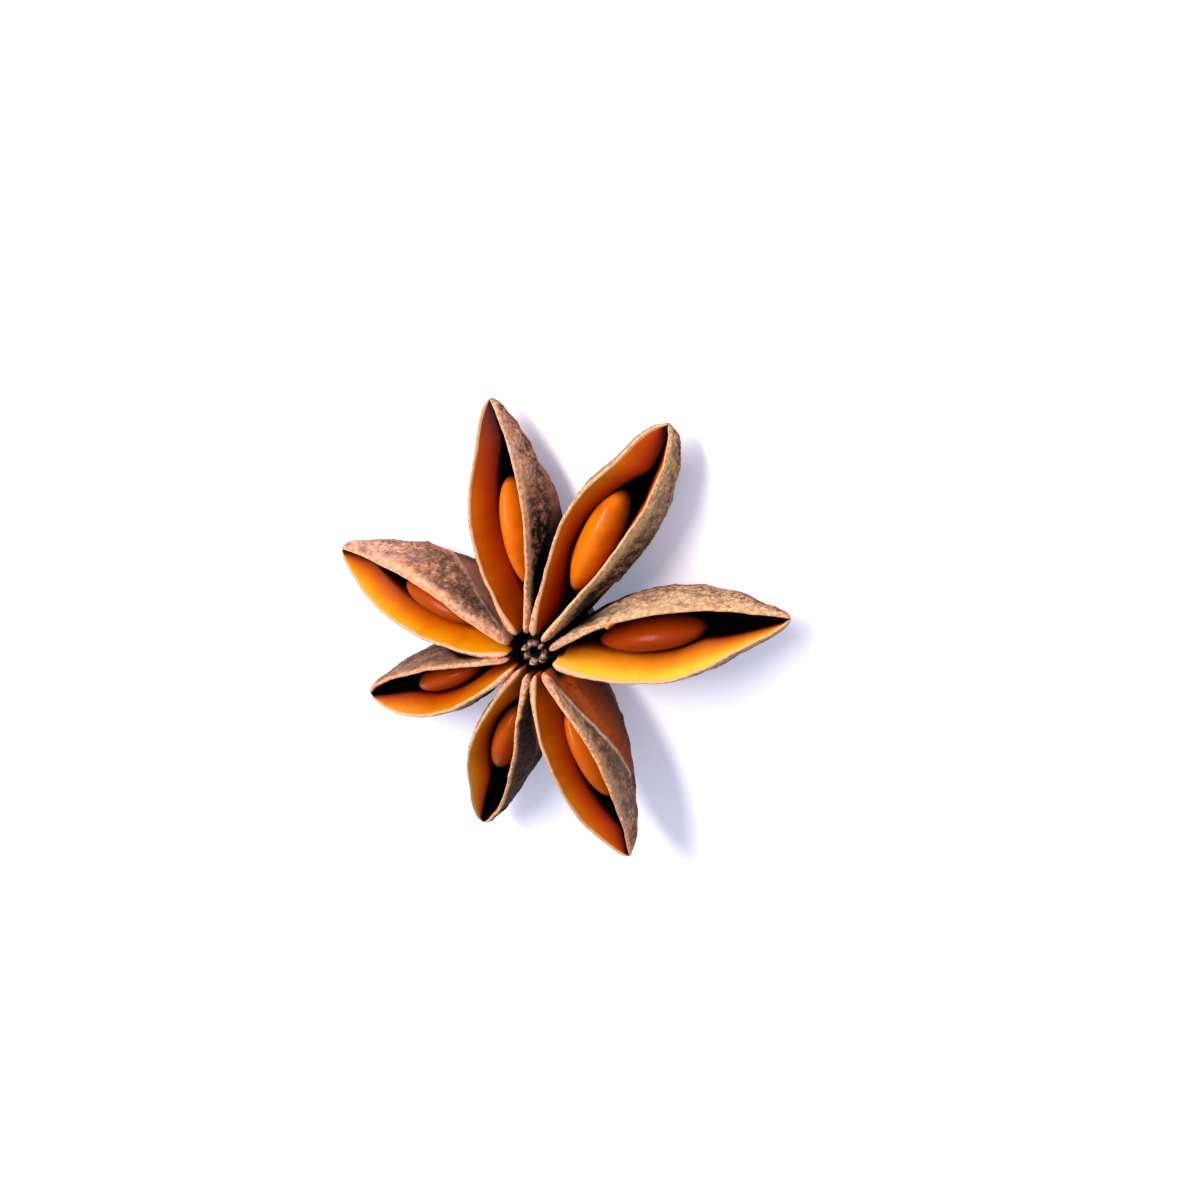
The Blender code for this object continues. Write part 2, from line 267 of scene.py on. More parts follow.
# The closed section: the outside from the left lip over the back to the right lip, then back inside. Share
# runs from 0 on the crest of the lip to 1 in the middle of the back.
def sectionPoints(section, share, outside):
    half, lip, side, depth = [section[key] for key in ("half", "lip", "side", "depth")]
    lipEnd, turnOut, turnIn = 0.07, 0.40, 0.52      # shares where the lip ends and each surface turns under
    a = np.clip(share / lipEnd, 0, 1) * math.pi / 2
    crest = half + lip / 2
    roundIn, roundDown = lip / 2 * np.sin(a), -lip / 2 * (1 - np.cos(a))

    belly = depth * pod["belly"]
    q = np.clip((share - lipEnd) / (turnOut - lipEnd), 0, 1)
    under = np.clip((share - turnOut) / (1 - turnOut), 0, 1) * math.pi / 2
    yOut = np.where(share < turnOut, mix(crest + roundIn, side, q ** 0.8), side * np.cos(under) ** 0.8)
    zUnder = -belly - (depth - belly) * np.sin(under) ** 0.8
    zOut = np.where(share < turnOut, mix(roundDown, -belly, q), zUnder)

    fold, inner = section["fold"], section["inner"]
    foldShare, deepestFold = pod["foldDepth"]
    foldDepth = np.minimum(np.minimum(foldShare * depth, deepestFold), 0.75 * inner)
    q = np.clip((share - lipEnd) / (turnIn - lipEnd), 0, 1)
    r = np.clip((share - turnIn) / (1 - turnIn), 0, 1)
    yPocket = mix(fold, section["pocket"], ramp(r, 0, 0.3)) * np.cos(r * math.pi / 2) ** 0.9
    zPocket = -foldDepth - (inner - foldDepth) * np.sin(r * math.pi / 2) ** 1.05
    yIn = np.where(share < turnIn, mix(crest - roundIn, fold, q ** 1.15), yPocket)
    zIn = np.where(share < turnIn, mix(roundDown, -foldDepth, q), zPocket)
    return np.where(outside, yOut, yIn), np.where(outside, zOut, zIn)


# For each point of the grid: its share of the length, its side, its share of the way from lip to back, and
# whether it is on the outside.
def gridPlaces(f):
    rows, outSteps, inSteps = pod["lengthSteps"], pod["outsideSteps"], pod["insideSteps"]
    ring = outSteps + inSteps
    u = np.arange(rows + 1) / rows
    u = mix(f["begin"], 1, u - 0.045 * np.sin(2 * math.pi * u))     # rows are closer at both ends
    u = np.repeat(u[:, None], ring, axis=1)
    k = np.repeat(np.arange(ring)[None, :], rows + 1, axis=0)
    outside = k < outSteps
    position = np.where(outside, 2 * k / outSteps - 1, 1 - 2 * (k - outSteps) / inSteps)
    sign = np.where(outside, np.where(position < 0, 1, -1), np.where(position > 0, -1, 1))
    share = 1 - np.abs(position)
    share = np.where(outside, share ** 1.25, share ** 1.2)          # steps gather at the round lips
    return [array.reshape(-1) for array in (u, sign, share, outside)]


# The smooth form. The beak closes to a blunt point, and the lips end at the hub like fingertips.
def follicleForm(f, u, sign, share, outside):
    section = sectionSizes(f, u, sign)
    y, z = sectionPoints(section, share, outside)
    beak = np.clip((u - 0.968) / 0.032, 0, 1)
    close = np.sqrt(np.maximum(1 - beak ** 2, 0.02))
    hubEnd = np.clip((f["begin"] + 0.04 - u) / 0.04, 0, 1)
    fingertip = np.sqrt(1 - 0.96 * hubEnd ** 2)
    nearLip = 1 - ramp(-z, 0.4, 1.4)
    crest = section["half"] + section["lip"] / 2
    y = mix(y, mix(crest, y, fingertip), nearLip) * close
    z = mix(-0.45 * section["depth"], z, close) - 0.42 * (1 - fingertip) * (1 - ramp(-z, 0.5, 2.5))
    points = np.stack([section["out"], section["middle"] + sign * y, seam(f, u) + z], axis=1)
    section.update(down=-z, fromCrest=np.hypot(y - crest * close, z), hubEnd=hubEnd, beak=beak)
    return points, section


# What each point is part of, from 0 to 1, for the relief and for the materials.
def surfaceParts(f, section, u, sign, share, outside):
    left = sign > 0
    down, out, begin = section["down"], section["out"], f["begin"]
    backness = down / section["depth"]
    space = np.where(left, *f["space"])
    leaning = np.where(left, *f["flare"])

    # The outside: flanks that were pressed flat, the ridge at their top edge, the back and the shoulders.
    creaseDepth, creaseEnd = [np.where(left, a, b) for a, b in zip(*f["crease"])]
    creaseAt = mix(0.35, creaseDepth, np.clip(u / creaseEnd, 0, 1) ** 1.15)
    pressed = outside * ramp(down, creaseAt, creaseAt + 0.22)
    pressed = pressed * (1 - ramp(u, creaseEnd - 0.07, creaseEnd + 0.05))
    pressed = pressed * (1 - ramp(backness, 0.80, 0.95))
    ridge = outside * bell(down, creaseAt, 0.13)
    ridge = ridge * (1 - ramp(u, creaseEnd - 0.05, creaseEnd + 0.06)) * ramp(u, 0.05, 0.12)
    ridge = ridge * ramp(space, math.radians(26), math.radians(29))
    back = outside * ramp(backness, 0.45, 0.72) * (1 - pressed)
    shoulder = outside * (1 - back) * (1 - pressed)
    crag = f["crag"] * shoulder * ramp(down, 0.25, 0.9) * (1 - ramp(u, 0.45, 0.72))
    gilt = 0.8 * f["crag"] * shoulder * (1 - ramp(down, 0.3, 0.9)) * (1 - ramp(u, 0.60, 0.85))
    alongLip = ramp(u, begin + 0.02, begin + 0.16)
    rim = 1 - ramp(section["fromCrest"], mix(0.30, 0.10, alongLip), mix(0.62, 0.36, alongLip))

    # Painted shade at the bottoms of the clefts, which reaches further out between close neighbours.
    narrow = 1 - ramp(space, math.radians(29), math.radians(35))
    shut = np.maximum(1 - ramp(out, 1.9, 2.7), narrow * (1 - ramp(out, 4.2, 7.5)))
    tight = 1 - ramp(space, math.radians(22), math.radians(26))
    cleftShadeAt = 0.5 + 2.3 * ramp(out, 5.0, 9.0)
    tight = tight * ramp(down, cleftShadeAt, cleftShadeAt + 0.45) * (1 - ramp(out, 6.8, 8.6))
    cleftShade = outside * np.maximum(shut * ramp(down, 0.5, 1.3), tight)

    # Tones go from one side's to the other's over the back, and are partly painted light and shade. Painted
    # shade darkens a lining at the hub and the beak, and painted light lifts it near the lip.
    sideShare = 0.5 + 0.5 * sign * ramp(1 - share, 0, 0.25)
    skinToneAndShade = mix(f["skin"][1], f["skin"][0], sideShare)
    liningToneAndShade = mix(f["lining"][1], f["lining"][0], sideShare)
    liningToneAndShade = liningToneAndShade - f["beakShade"] * ramp(u, 0.56, 0.96)
    liningToneAndShade = liningToneAndShade - 0.32 * (1 - liningToneAndShade) ** 2 * (1 - ramp(u, 0.08, 0.34))
    liningToneAndShade = liningToneAndShade + 0.09 * (1 - ramp(down, 0.1, 1.3))

    # How far down the inside a point lies, for the painted shade of the pocket. The mouth of the pocket at
    # the hub is painted half dark as well, and its inside also gets the painted shade of the clefts.
    pocketShade = np.where(outside, 0, np.clip(down / np.maximum(section["inner"], 0.3), 0, 1))
    pocketShade = pocketShade * (1 - 0.3 * leaning * (1 - ramp(u, 0.15, 0.55)))
    atHub = 1 - ramp(u, begin + 0.01, begin + mix(0.14, 0.05, leaning))
    atHub = atHub * ramp(down, mix(0.25, 0.5, leaning), mix(0.7, 1.4, leaning))
    pocketShade = np.maximum(pocketShade, 0.5 * atHub)
    cleftShade = np.maximum(cleftShade, (1 - outside) * atHub)
    return {
        "inside": 1 - outside, "rim": rim, "shoulder": shoulder, "pressed": pressed, "ridge": ridge,
        "cleftShade": cleftShade, "pocketShade": pocketShade, "toneAndShade": np.where(outside, skinToneAndShade, liningToneAndShade), "low": backness,
        "warmth": f["warmth"] * ramp(u, begin, begin + 0.22), "crag": crag, "gilt": gilt,
        "back": back, "alongLip": alongLip, "leaning": leaning,
    }


# The parts that the materials read, as attributes.
painted = (
    "inside", "rim", "shoulder", "pressed", "ridge", "cleftShade",
    "pocketShade", "toneAndShade", "low", "warmth", "crag", "gilt",
)

# Relief of the skins in millimetres: the size of each pattern, then its height on each surface.
relief = {
    "sizes": {
        "crease": 1.15, "fold": 2.3, "lump": 0.85, "bead": 0.28, "fine": 0.22, "ripple": 1.6,
        "lipLine": 0.4,
    },
    "stretch": 0.42,            # creases, folds and ripples run along the follicle
    "back": {"crease": 0.20, "fold": 0.22, "fine": 0.04},
    "shoulder": {"lump": 0.07, "bead": 0.11, "fine": 0.03, "fold": 0.10},
    "pressed": {"lump": 0.035, "crease": 0.03, "fine": 0.008, "hollow": 0.05},
    "lining": {"ripple": 0.02, "fine": 0.012},
    "crag": 0.10, "ridge": 0.055, "lipLine": 0.03,
}


def reliefHeight(f, points, section, part):
    number, size, down = f["number"], relief["sizes"], section["down"]
    lengthwise = points * np.array([relief["stretch"], 1, 1])
    crease = 1 - 2 * np.abs(grain(lengthwise, size["crease"], number + 2))
    fold = 1 - 2 * np.abs(grain(lengthwise, size["fold"], number + 4))
    lump = grain(points, size["lump"], number + 6)
    bead = pebbles(points, size["bead"], number + 8)
    fine = grain(points, size["fine"], number + 10)
    ripple = grain(lengthwise, size["ripple"], number + 12)

    tall = relief["back"]
    onBack = tall["crease"] * (crease - 0.55) + tall["fold"] * (fold - 0.5) + tall["fine"] * fine
    height = part["back"] * onBack
    tall = relief["shoulder"]
    nearLeaningLip = part["leaning"] * (1 - ramp(down, 0.8, 2.4))
    calm = (1 - 0.75 * part["rim"] * part["alongLip"]) * (1 - 0.7 * nearLeaningLip)
    onShoulder = tall["lump"] * lump + tall["bead"] * (bead - 0.55) + tall["fine"] * fine
    height += part["shoulder"] * onShoulder * calm
    height += part["shoulder"] * tall["fold"] * (fold - 0.5) * ramp(down, 0.8, 2.2)
    height += part["crag"] * relief["crag"] * (crease - 0.6)
    tall = relief["pressed"]
    onPressed = tall["lump"] * lump + tall["crease"] * (crease - 0.5) + tall["fine"] * fine - tall["hollow"]
    height += part["pressed"] * onPressed
    height += relief["ridge"] * part["ridge"] * (0.8 + 0.6 * lump)
    tall = relief["lining"]
    height += part["inside"] * (tall["ripple"] * ripple - tall["fine"] * fine * part["rim"])
    height *= 1 - 0.8 * section["hubEnd"]
    height *= 1 - 0.6 * section["beak"]
    return height


def gridNormals(points):
    along = np.gradient(points, axis=0)
    around = np.roll(points, -1, axis=1) - np.roll(points, 1, axis=1)
    normal = np.cross(along, around)
    length = np.linalg.norm(normal, axis=2, keepdims=True)
    return normal / np.maximum(length, 1e-9)


# A follicle: a grid rolled into a boat with a wall and given its relief. Its long edges are welded, and its
# ends closed.
def makeFollicle(name, f):
    rows, ring = pod["lengthSteps"], pod["outsideSteps"] + pod["insideSteps"]
    bm = bmesh.new()
    bmesh.ops.create_grid(bm, x_segments=rows, y_segments=ring, size=0.5)
    grid = np.array([v.co[:2] for v in bm.verts])
    row = np.rint((grid[:, 0] + 0.5) * rows).astype(int)
    step = np.rint((grid[:, 1] + 0.5) * ring).astype(int) % ring

    u, sign, share, outside = gridPlaces(f)
    points, section = follicleForm(f, u, sign, share, outside)
    part = surfaceParts(f, section, u, sign, share, outside)
    normal = gridNormals(points.reshape(rows + 1, ring, 3)).reshape(-1, 3)
    points = points + normal * reliefHeight(f, points, section, part)[:, None]
    lipLine = grain(points, relief["sizes"]["lipLine"], f["number"] + 14)
    points[:, 2] += relief["lipLine"] * part["rim"] * lipLine

    x, y = toPod(f, points[:, 0], points[:, 1])
    world = np.stack([x, y, np.maximum(points[:, 2], 0.0)], axis=1) * mm    # the back rests on the floor
    streaks = (points * np.array([0.32, 1, 1]) + np.array([0, 30 * f["number"], 0])) * mm
    keys = {key: bm.verts.layers.float.new(key) for key in painted}
    streakKey = bm.verts.layers.float_vector.new("streaks")
    for vertex, i in zip(bm.verts, row * ring + step):
        vertex.co = world[i]
        vertex[streakKey] = streaks[i]
        for key, layer in keys.items():
            vertex[layer] = part[key][i]
    bmesh.ops.remove_doubles(bm, verts=bm.verts, dist=0.0002 * mm)
    bmesh.ops.holes_fill(bm, edges=[e for e in bm.edges if e.is_boundary], sides=0)
    bmesh.ops.triangulate(bm, faces=[face for face in bm.faces if len(face.verts) > 4])
    bm.normal_update()
    bmesh.ops.recalc_face_normals(bm, faces=bm.faces)
    insideKey = keys["inside"]
    for face in bm.faces:
        face.smooth = True
        face.material_index = 1 if sum(v[insideKey] for v in face.verts) > 0.5 * len(face.verts) else 0
    return finishPiece("husk_" + name, bm, [driedSkin, valveLining], "husk", "husk")


def finishPiece(name, bm, finishes, slot, *replaced):
    mesh = bpy.data.meshes.new(name)
    bm.to_mesh(mesh)
    bm.free()
    for finish in finishes:
        mesh.materials.append(finish)
    piece = bpy.data.objects.new(name, mesh)
    bpy.context.scene.collection.objects.link(piece)
    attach(piece, "root")
    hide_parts(*replaced)
    return piece


def newMaterial(name):
    material = bpy.data.materials.new(name)
    material.use_nodes = True
    tree = material.node_tree
    shader = tree.nodes["Principled BSDF"]
    place = addNode(tree, "ShaderNodeTexCoord").outputs["Object"]
    return material, tree, shader, place


# Where a colour shows, from 0 to 1: an attribute's layer, or a noise pattern of a size in mm, as it rises
# from low to high. A pattern that also has a layer follows that layer's vectors.
def addBound(tree, place, bound):
    source = place
    if "layer" in bound:
        attribute = addNode(tree, "ShaderNodeAttribute", {"attribute_name": bound["layer"]})
        source = attribute.outputs["Vector" if "size" in bound else "Fac"]
    if "size" in bound:
        settings = {
            "Scale": 1 / (bound["size"] * mm),
            "Detail": bound.get("detail", 3.0),
            "Roughness": bound.get("rough", 0.6),
        }
        source = addNode(tree, "ShaderNodeTexNoise", settings, {"Vector": source}).outputs["Fac"]
    settings = {
        "From Min": bound.get("low", 0.0),
        "From Max": bound.get("high", 1.0),
        "To Max": bound.get("most", 1.0),
    }
    return addNode(tree, "ShaderNodeMapRange", settings, {"Value": source}).outputs["Result"]


# Paints colours over the first, one after the other. A colour is a hex value or a socket, and the bounds
# after it say where it shows.
def paint(tree, place, colours, blend="MIX"):
    colour, *tops = colours
    for top, *bounds in tops:
        limits = [addBound(tree, place, bound) for bound in bounds]
        share = limits[0] if limits else 1.0
        for limit in limits[1:]:
            product = addNode(tree, "ShaderNodeMath", {"operation": "MULTIPLY"}, {0: share, 1: limit})
            share = product.outputs[0]
        node = addNode(tree, "ShaderNodeMix", {"data_type": "RGBA", "blend_type": blend})
        factor, under, over = [node.inputs[i] for i in (0, 6, 7)]       # the sockets that mix colours
        for socket, value in ((factor, share), (under, colour), (over, top)):
            if isinstance(value, str):
                socket.default_value = linear(value)
            elif isinstance(value, float):
                socket.default_value = value
            else:
                tree.links.new(value, socket)
        colour = node.outputs[2]
    return colour


# Gives a shader its colour, the values of its surface and the bump of a fine grain.
def dress(tree, shader, place, colour, look):
    tree.links.new(colour, shader.inputs["Base Color"])
    for key, value in look["surface"].items():
        shader.inputs[key].default_value = value
    if "grain" in look:
        grains = addNode(tree, "ShaderNodeTexNoise", look["grain"], {"Vector": place})
        bump = addNode(tree, "ShaderNodeBump", look["bump"], {"Height": grains.outputs["Fac"]})
        tree.links.new(bump.outputs["Normal"], shader.inputs["Normal"])


# Dried outer skin of the husk: a matt, woody skin that dried to grains and wrinkles, sandy on the
# shoulders, smoother and more orange where neighbours pressed, red-brown on the backs, pale at the lips,
# with painted shade near black in the clefts.
skinLook = {
    "sand": [
        "#946C56",
        ("#DAB89E", {"size": 0.26, "detail": 4.0, "rough": 0.7, "low": 0.34, "high": 0.60}),
        ("#EBD2BC", {"size": 0.22, "detail": 2.0, "low": 0.56, "high": 0.74}),            # pale grains
        ("#946C56", {"size": 0.5, "layer": "streaks", "low": 0.50, "high": 0.66}),        # dark streaks
        ("#8A7270", {"size": 1.0, "layer": "streaks", "low": 0.54, "high": 0.68}),        # grey streaks
        ("#C8965E", {"size": 3.4, "low": 0.56, "high": 0.74}),                            # golden patches
        ("#3A241A", {"size": 0.28, "rough": 0.7, "low": 0.46, "high": 0.58},              # pits low down
                    {"layer": "low", "low": 0.16, "high": 0.55}),
        ("#F0CC9C", {"layer": "gilt"}),                                                   # below the lip
        ("#A0724E", {"layer": "crag", "most": 0.6}),
        ("#2A1C12", {"size": 0.6, "detail": 4.0, "rough": 0.7, "low": 0.40, "high": 0.54},
                    {"layer": "crag"}),                                                   # torn hollows
    ],
    "back": [
        "#8A4A36",
        ("#B08270", {"size": 1.1, "low": 0.35, "high": 0.65}),
        ("#4A2A20", {"size": 1.5, "low": 0.52, "high": 0.64}),
    ],
    "pressed": [
        "#A8480A",
        ("#A8561E", {"size": 1.3, "low": 0.42, "high": 0.68}),
        ("#C08468", {"layer": "toneAndShade", "low": 0.6, "high": 1.0}),                          # on pale skins
        ("#4A2A20", {"size": 0.5, "low": 0.60, "high": 0.75}),
        ("#4A2A20", {"layer": "low", "low": 0.30, "high": 0.75}),
    ],
    "rim": ["#BC8464", ("#EBC6A2", {"size": 0.24, "detail": 2.0, "low": 0.40, "high": 0.66})],
    "speck": ("#3A241A", {"size": 0.7, "detail": 4.0, "rough": 0.7, "low": 0.62, "high": 0.74}),
    "ridge": ("#EBD2BC", {"layer": "ridge", "most": 0.55}),
    # painted shade: near black at the bottoms of the clefts and in the mouths of the pockets at the hub
    "cleftShade": ("#060302", {"layer": "cleftShade"}),
    "shade": ["#4A3A30", ("#FFFFFF", {"layer": "toneAndShade"})],
    "tint": ["#F8DEDC", ("#FFFAE2", {"layer": "warmth"})],
    "grain": {"Scale": 1 / (0.26 * mm), "Detail": 4.0, "Roughness": 0.7},
    "bump": {"Strength": 0.9, "Distance": 0.06 * mm},
    "surface": {"Roughness": 0.85, "Specular IOR Level": 0.12},
}


def makeSkin():
    material, tree, shader, place = newMaterial("driedSkin")
    look = skinLook
    sand, back, pressed, rim, shade, tint = [
        paint(tree, place, look[key]) for key in ("sand", "back", "pressed", "rim", "shade", "tint")]
    colour = paint(tree, place, [back, (sand, {"layer": "shoulder"}), look["speck"]])
    colour = paint(tree, place, [colour, (shade,)], "MULTIPLY")
    tops = [(pressed, {"layer": "pressed"}), look["ridge"], look["cleftShade"], (rim, {"layer": "rim"})]
    colour = paint(tree, place, [colour, *tops])
    colour = paint(tree, place, [colour, (tint,)], "MULTIPLY")
    dress(tree, shader, place, colour, look)
    return material


# Lining of the open valves: a hard, smooth, waxy inner skin. It is a satin orange, gold on some valves and
# red-brown on others, partly as painted light and shade, and painted shade sinks it to near black in the
# pocket.
liningLook = {
    # colour by tone, from red-brown to gold, partly painted light and shade
    "toneAndShade": [(0.0, "#6A2000"), (0.35, "#B84E00"), (0.70, "#DE8C00"), (1.0, "#FCC640")],
    # painted shade: darker from the lip to the bottom of the pocket, near black there
    "pocketShade": [
        (0.0, "#FFFFFF"), (0.09, "#F8F2E4"), (0.22, "#DCAE70"), (0.30, "#B87C44"), (0.36, "#7A4420"),
        (0.42, "#3A1206"), (0.50, "#080201"),
    ],
    "blush": ("#C46A3C", {"size": 1.4, "detail": 2.0, "rough": 0.5, "low": 0.4, "high": 0.9, "most": 0.35}),
    "rim": ("#D9A878", {"layer": "rim", "low": 0.45, "high": 0.95}),
    "grain": {"Scale": 1 / (0.3 * mm), "Detail": 2.0},
    "bump": {"Strength": 0.25, "Distance": 0.02 * mm},
    "surface": {"Roughness": 0.5, "Specular IOR Level": 0.22, "IOR": 1.25},
}


def makeLining():
    material, tree, shader, place = newMaterial("valveLining")
    look = liningLook
    scales = []
    for layer in ("toneAndShade", "pocketShade"):
        source = addNode(tree, "ShaderNodeAttribute", {"attribute_name": layer}).outputs["Fac"]
        scale = addNode(tree, "ShaderNodeValToRGB", None, {"Fac": source})
        stops, elements = look[layer], scale.color_ramp.elements
        elements[0].position, elements[1].position = stops[0][0], stops[-1][0]
        for position, _ in stops[1:-1]:
            elements.new(position)
        for element, (_, colour) in zip(elements, stops):
            element.color = linear(colour)
        scales.append(scale.outputs["Color"])
    toneAndShadeColour, dark = scales
    colour = paint(tree, place, [toneAndShadeColour, look["blush"], (dark,)], "MULTIPLY")
    colour = paint(tree, place, [colour, look["rim"]])
    dress(tree, shader, place, colour, look)
    return material


# Seed coat: a hard, polished amber shell. The eye sees long soft highlights and slightly darker ends.
seedLook = {
    "colour": [
        "#8C2E04",
        # paler as the seed's tone rises; that tone is partly painted shade
        ("#DA6C06", {"layer": "toneAndShade"}),
        ("#8C2E04", {"size": 1.5, "rough": 0.5, "low": 0.45, "high": 0.9, "most": 0.6}),    # mottle
        ("#5A1E04", {"layer": "end"}),
    ],
    "polish": {"To Min": 0.04, "To Max": 0.18},     # weight of the clear coat on a dark and on a pale seed
    "surface": {"Roughness": 0.30, "Specular IOR Level": 0.07, "Coat Roughness": 0.10},
}


def makeSeedCoat():
    material, tree, shader, place = newMaterial("seedCoat")
    look = seedLook
    dress(tree, shader, place, paint(tree, place, look["colour"]), look)
    toneAndShade = addNode(tree, "ShaderNodeAttribute", {"attribute_name": "toneAndShade"})
    polish = addNode(tree, "ShaderNodeMapRange", look["polish"], {"Value": toneAndShade.outputs["Fac"]})
    tree.links.new(polish.outputs["Result"], shader.inputs["Coat Weight"])
    return material


# Torn top of the column: dry, fibrous tan lumps round a pit painted dark as shade.
columnLook = {
    "colour": [
        "#74493A",
        ("#DDB59C", {"size": 0.3, "rough": 0.5, "low": 0.42, "high": 0.68}),
        # painted shade: near black in the pit and in the gaps between the lumps
        ("#050302", {"layer": "pit"}),
    ],
    "grain": {"Scale": 1 / (0.3 * mm), "Detail": 3.0},
    "bump": {"Strength": 0.6, "Distance": 0.05 * mm},
    "surface": {"Roughness": 0.88, "Specular IOR Level": 0.15},
}


def makeColumnSkin():
    material, tree, shader, place = newMaterial("columnTop")
    look = columnLook
    dress(tree, shader, place, paint(tree, place, look["colour"]), look)
    return material


# The column that the follicles stand round, in millimetres. It is turned from a profile of radius and depth
# below the seams, and its top is torn to a ring of lumps.
column = {
    "profile": [
        (0.0, 5.2), (0.4, 5.15), (0.75, 5.25), (1.0, 5.6), (1.5, 5.85), (2.2, 5.95), (2.65, 5.75),
        (2.8, 5.2), (2.8, 4.0), (2.75, 3.2), (2.4, 2.8), (1.8, 2.6), (1.2, 2.4), (1.02, 2.0),
        (0.96, 1.4), (0.90, 1.02), (0.80, 0.84), (0.66, 0.80), (0.52, 0.92), (0.42, 1.25),
        (0.36, 1.7), (0.2, 1.9), (0.0, 1.9),
    ],
    "steps": 84, "longestEdge": 0.12,
    "ring": (0.76, 0.36, 0.80),             # radius, half width and depth of the ring
    "ringEnds": (1.15, 2.2),                # largest radius and depth that are torn
    "lumps": 7, "lumpHeight": 0.34,
    "tearHeight": 0.40, "tearSize": 0.30,
    "waveHeight": 0.30,                     # of the slow wave round the ring
    "swelling": (0.07, 0.06),               # outwards, with the tears and with the lumps
    "pit": (0.05, 0.30),                    # how far below the ring the painted shade begins, and over what depth
}


def makeColumn():
    bm = bmesh.new()
    points = [bm.verts.new((r, 0, pod["seamTop"] - depth)) for r, depth in column["profile"]]
    edges = [bm.edges.new(pair) for pair in zip(points, points[1:])]
    bmesh.ops.spin(bm, geom=points + edges, cent=(0, 0, 0), axis=(0, 0, 1), angle=2 * math.pi,
                   steps=column["steps"], use_merge=True)
    bmesh.ops.remove_doubles(bm, verts=bm.verts, dist=0.001)
    longEdges = [e for e in bm.edges if e.calc_length() > column["longestEdge"]]
    bmesh.ops.subdivide_edges(bm, edges=longEdges, cuts=2, use_grid_fill=True)
    bm.normal_update()
    bmesh.ops.recalc_face_normals(bm, faces=bm.faces)
    pitKey = bm.verts.layers.float.new("pit")
    bm.normal_update()
    ringRadius, ringWidth, ringDepth = column["ring"]
    widest, deepest = column["ringEnds"]
    byTear, byLump = column["swelling"]
    darkFrom, darkOver = column["pit"]
    for vertex in bm.verts:
        p = vertex.co.copy()
        radius, turn = math.hypot(p.x, p.y), math.atan2(p.y, p.x)
        depth = pod["seamTop"] - p.z
        onRing = depth < deepest and radius < widest
        crown = max(0.0, 1 - abs(radius - ringRadius) / ringWidth) if onRing else 0.0
        wave = noise.noise(Vector((math.cos(turn), math.sin(turn), 3.0)) * 1.3)
        lump = 0.5 + 0.5 * math.cos(column["lumps"] * turn + 4.0 * wave)
        tear = noise.noise(p / column["tearSize"])
        lift = column["lumpHeight"] * lump - column["lumpHeight"]
        lift = crown * (lift + column["tearHeight"] * tear + column["waveHeight"] * wave)
        vertex.co = p + vertex.normal * (byTear * tear + byLump * crown * lump) + Vector((0, 0, lift))
        below = (depth - lift - ringDepth - darkFrom) / darkOver
        dark = min(1.0, max(0.0, below, 0.8 - 1.4 * lump))      # painted shade fills the gaps between the lumps too
        vertex[pitKey] = dark if depth < 4.5 else 0.4
    for face in bm.faces:
        face.smooth = True
    bmesh.ops.scale(bm, vec=(mm, mm, mm), verts=bm.verts)
    axis = [(a + b) * mm for a, b in zip(pod["hub"], pod["pit"])]
    bmesh.ops.translate(bm, vec=(*axis, 0), verts=bm.verts)
    return finishPiece("husk_column", bm, [columnSkin], "husk", "husk")


# A seed: a flattened egg that stands on its edge in the pocket, slimmer towards the hub, with a faint keel.
seedForm = {
    "segments": (72, 48),
    "slim": 0.14,               # share of its girth that is lost at both ends
    "slimToHub": 0.10,          # and at the end near the hub besides
    "keel": 0.16,               # share of its thickness that is lost at its top and bottom edge
    "dimple": (0.02, 1.4),      # depth as a share of the thickness, and size in millimetres
    "endFrom": 0.86,            # share of the half length where the darker ends begin
}


def makeSeed(name, f):
    place, halfLength, halfHeight, halfThickness, depth, aside = f["seed"]
    bm = bmesh.new()
    across, along = seedForm["segments"]
    dimpleDepth, dimpleSize = seedForm["dimple"]
    bmesh.ops.create_uvsphere(bm, u_segments=across, v_segments=along, radius=1.0)
    endKey = bm.verts.layers.float.new("end")
    toneKey = bm.verts.layers.float.new("toneAndShade")
    u = (place - pod["hubRadius"]) / f["length"]
    slope = (seam(f, u + 0.1) - seam(f, u - 0.1)) / (0.2 * f["length"])
    for vertex in bm.verts:
        side, height, length = vertex.co
        vertex[endKey] = max(0.0, (abs(length) - seedForm["endFrom"]) / (1 - seedForm["endFrom"]))
        vertex[toneKey] = f["coat"]
        slim = 1 - seedForm["slim"] * abs(length) ** 3
        if length < 0:
            slim -= seedForm["slimToHub"] * length * length
        keel = 1 - seedForm["keel"] * abs(height) ** 3
        x = length * halfLength
        z = height * halfHeight * slim
        y = side * halfThickness * slim * keel
        spot = Vector((x, y, z)) / dimpleSize + Vector((f["number"] * 5, 0, 0))
        dimple = dimpleDepth * noise.noise(spot)
        podX, podY = toPod(f, place + x - slope * z, f["bend"] * u * u + aside + y * (1 + dimple))
        vertex.co = Vector((podX, podY, seam(f, u) - depth + z + slope * x)) * mm
    bm.normal_update()
    bmesh.ops.recalc_face_normals(bm, faces=bm.faces)
    for face in bm.faces:
        face.smooth = True
    return finishPiece("glossySeed_" + name, bm, [seedCoat], "seed", "seed_" + name)


driedSkin = makeSkin()
valveLining = makeLining()
seedCoat = makeSeedCoat()
columnSkin = makeColumnSkin()
print("materials made")

for name, f in follicles.items():
    makeFollicle(name, f)
    makeSeed(name, f)
    print("follicle and seed made:", name)
makeColumn()
print("column made")


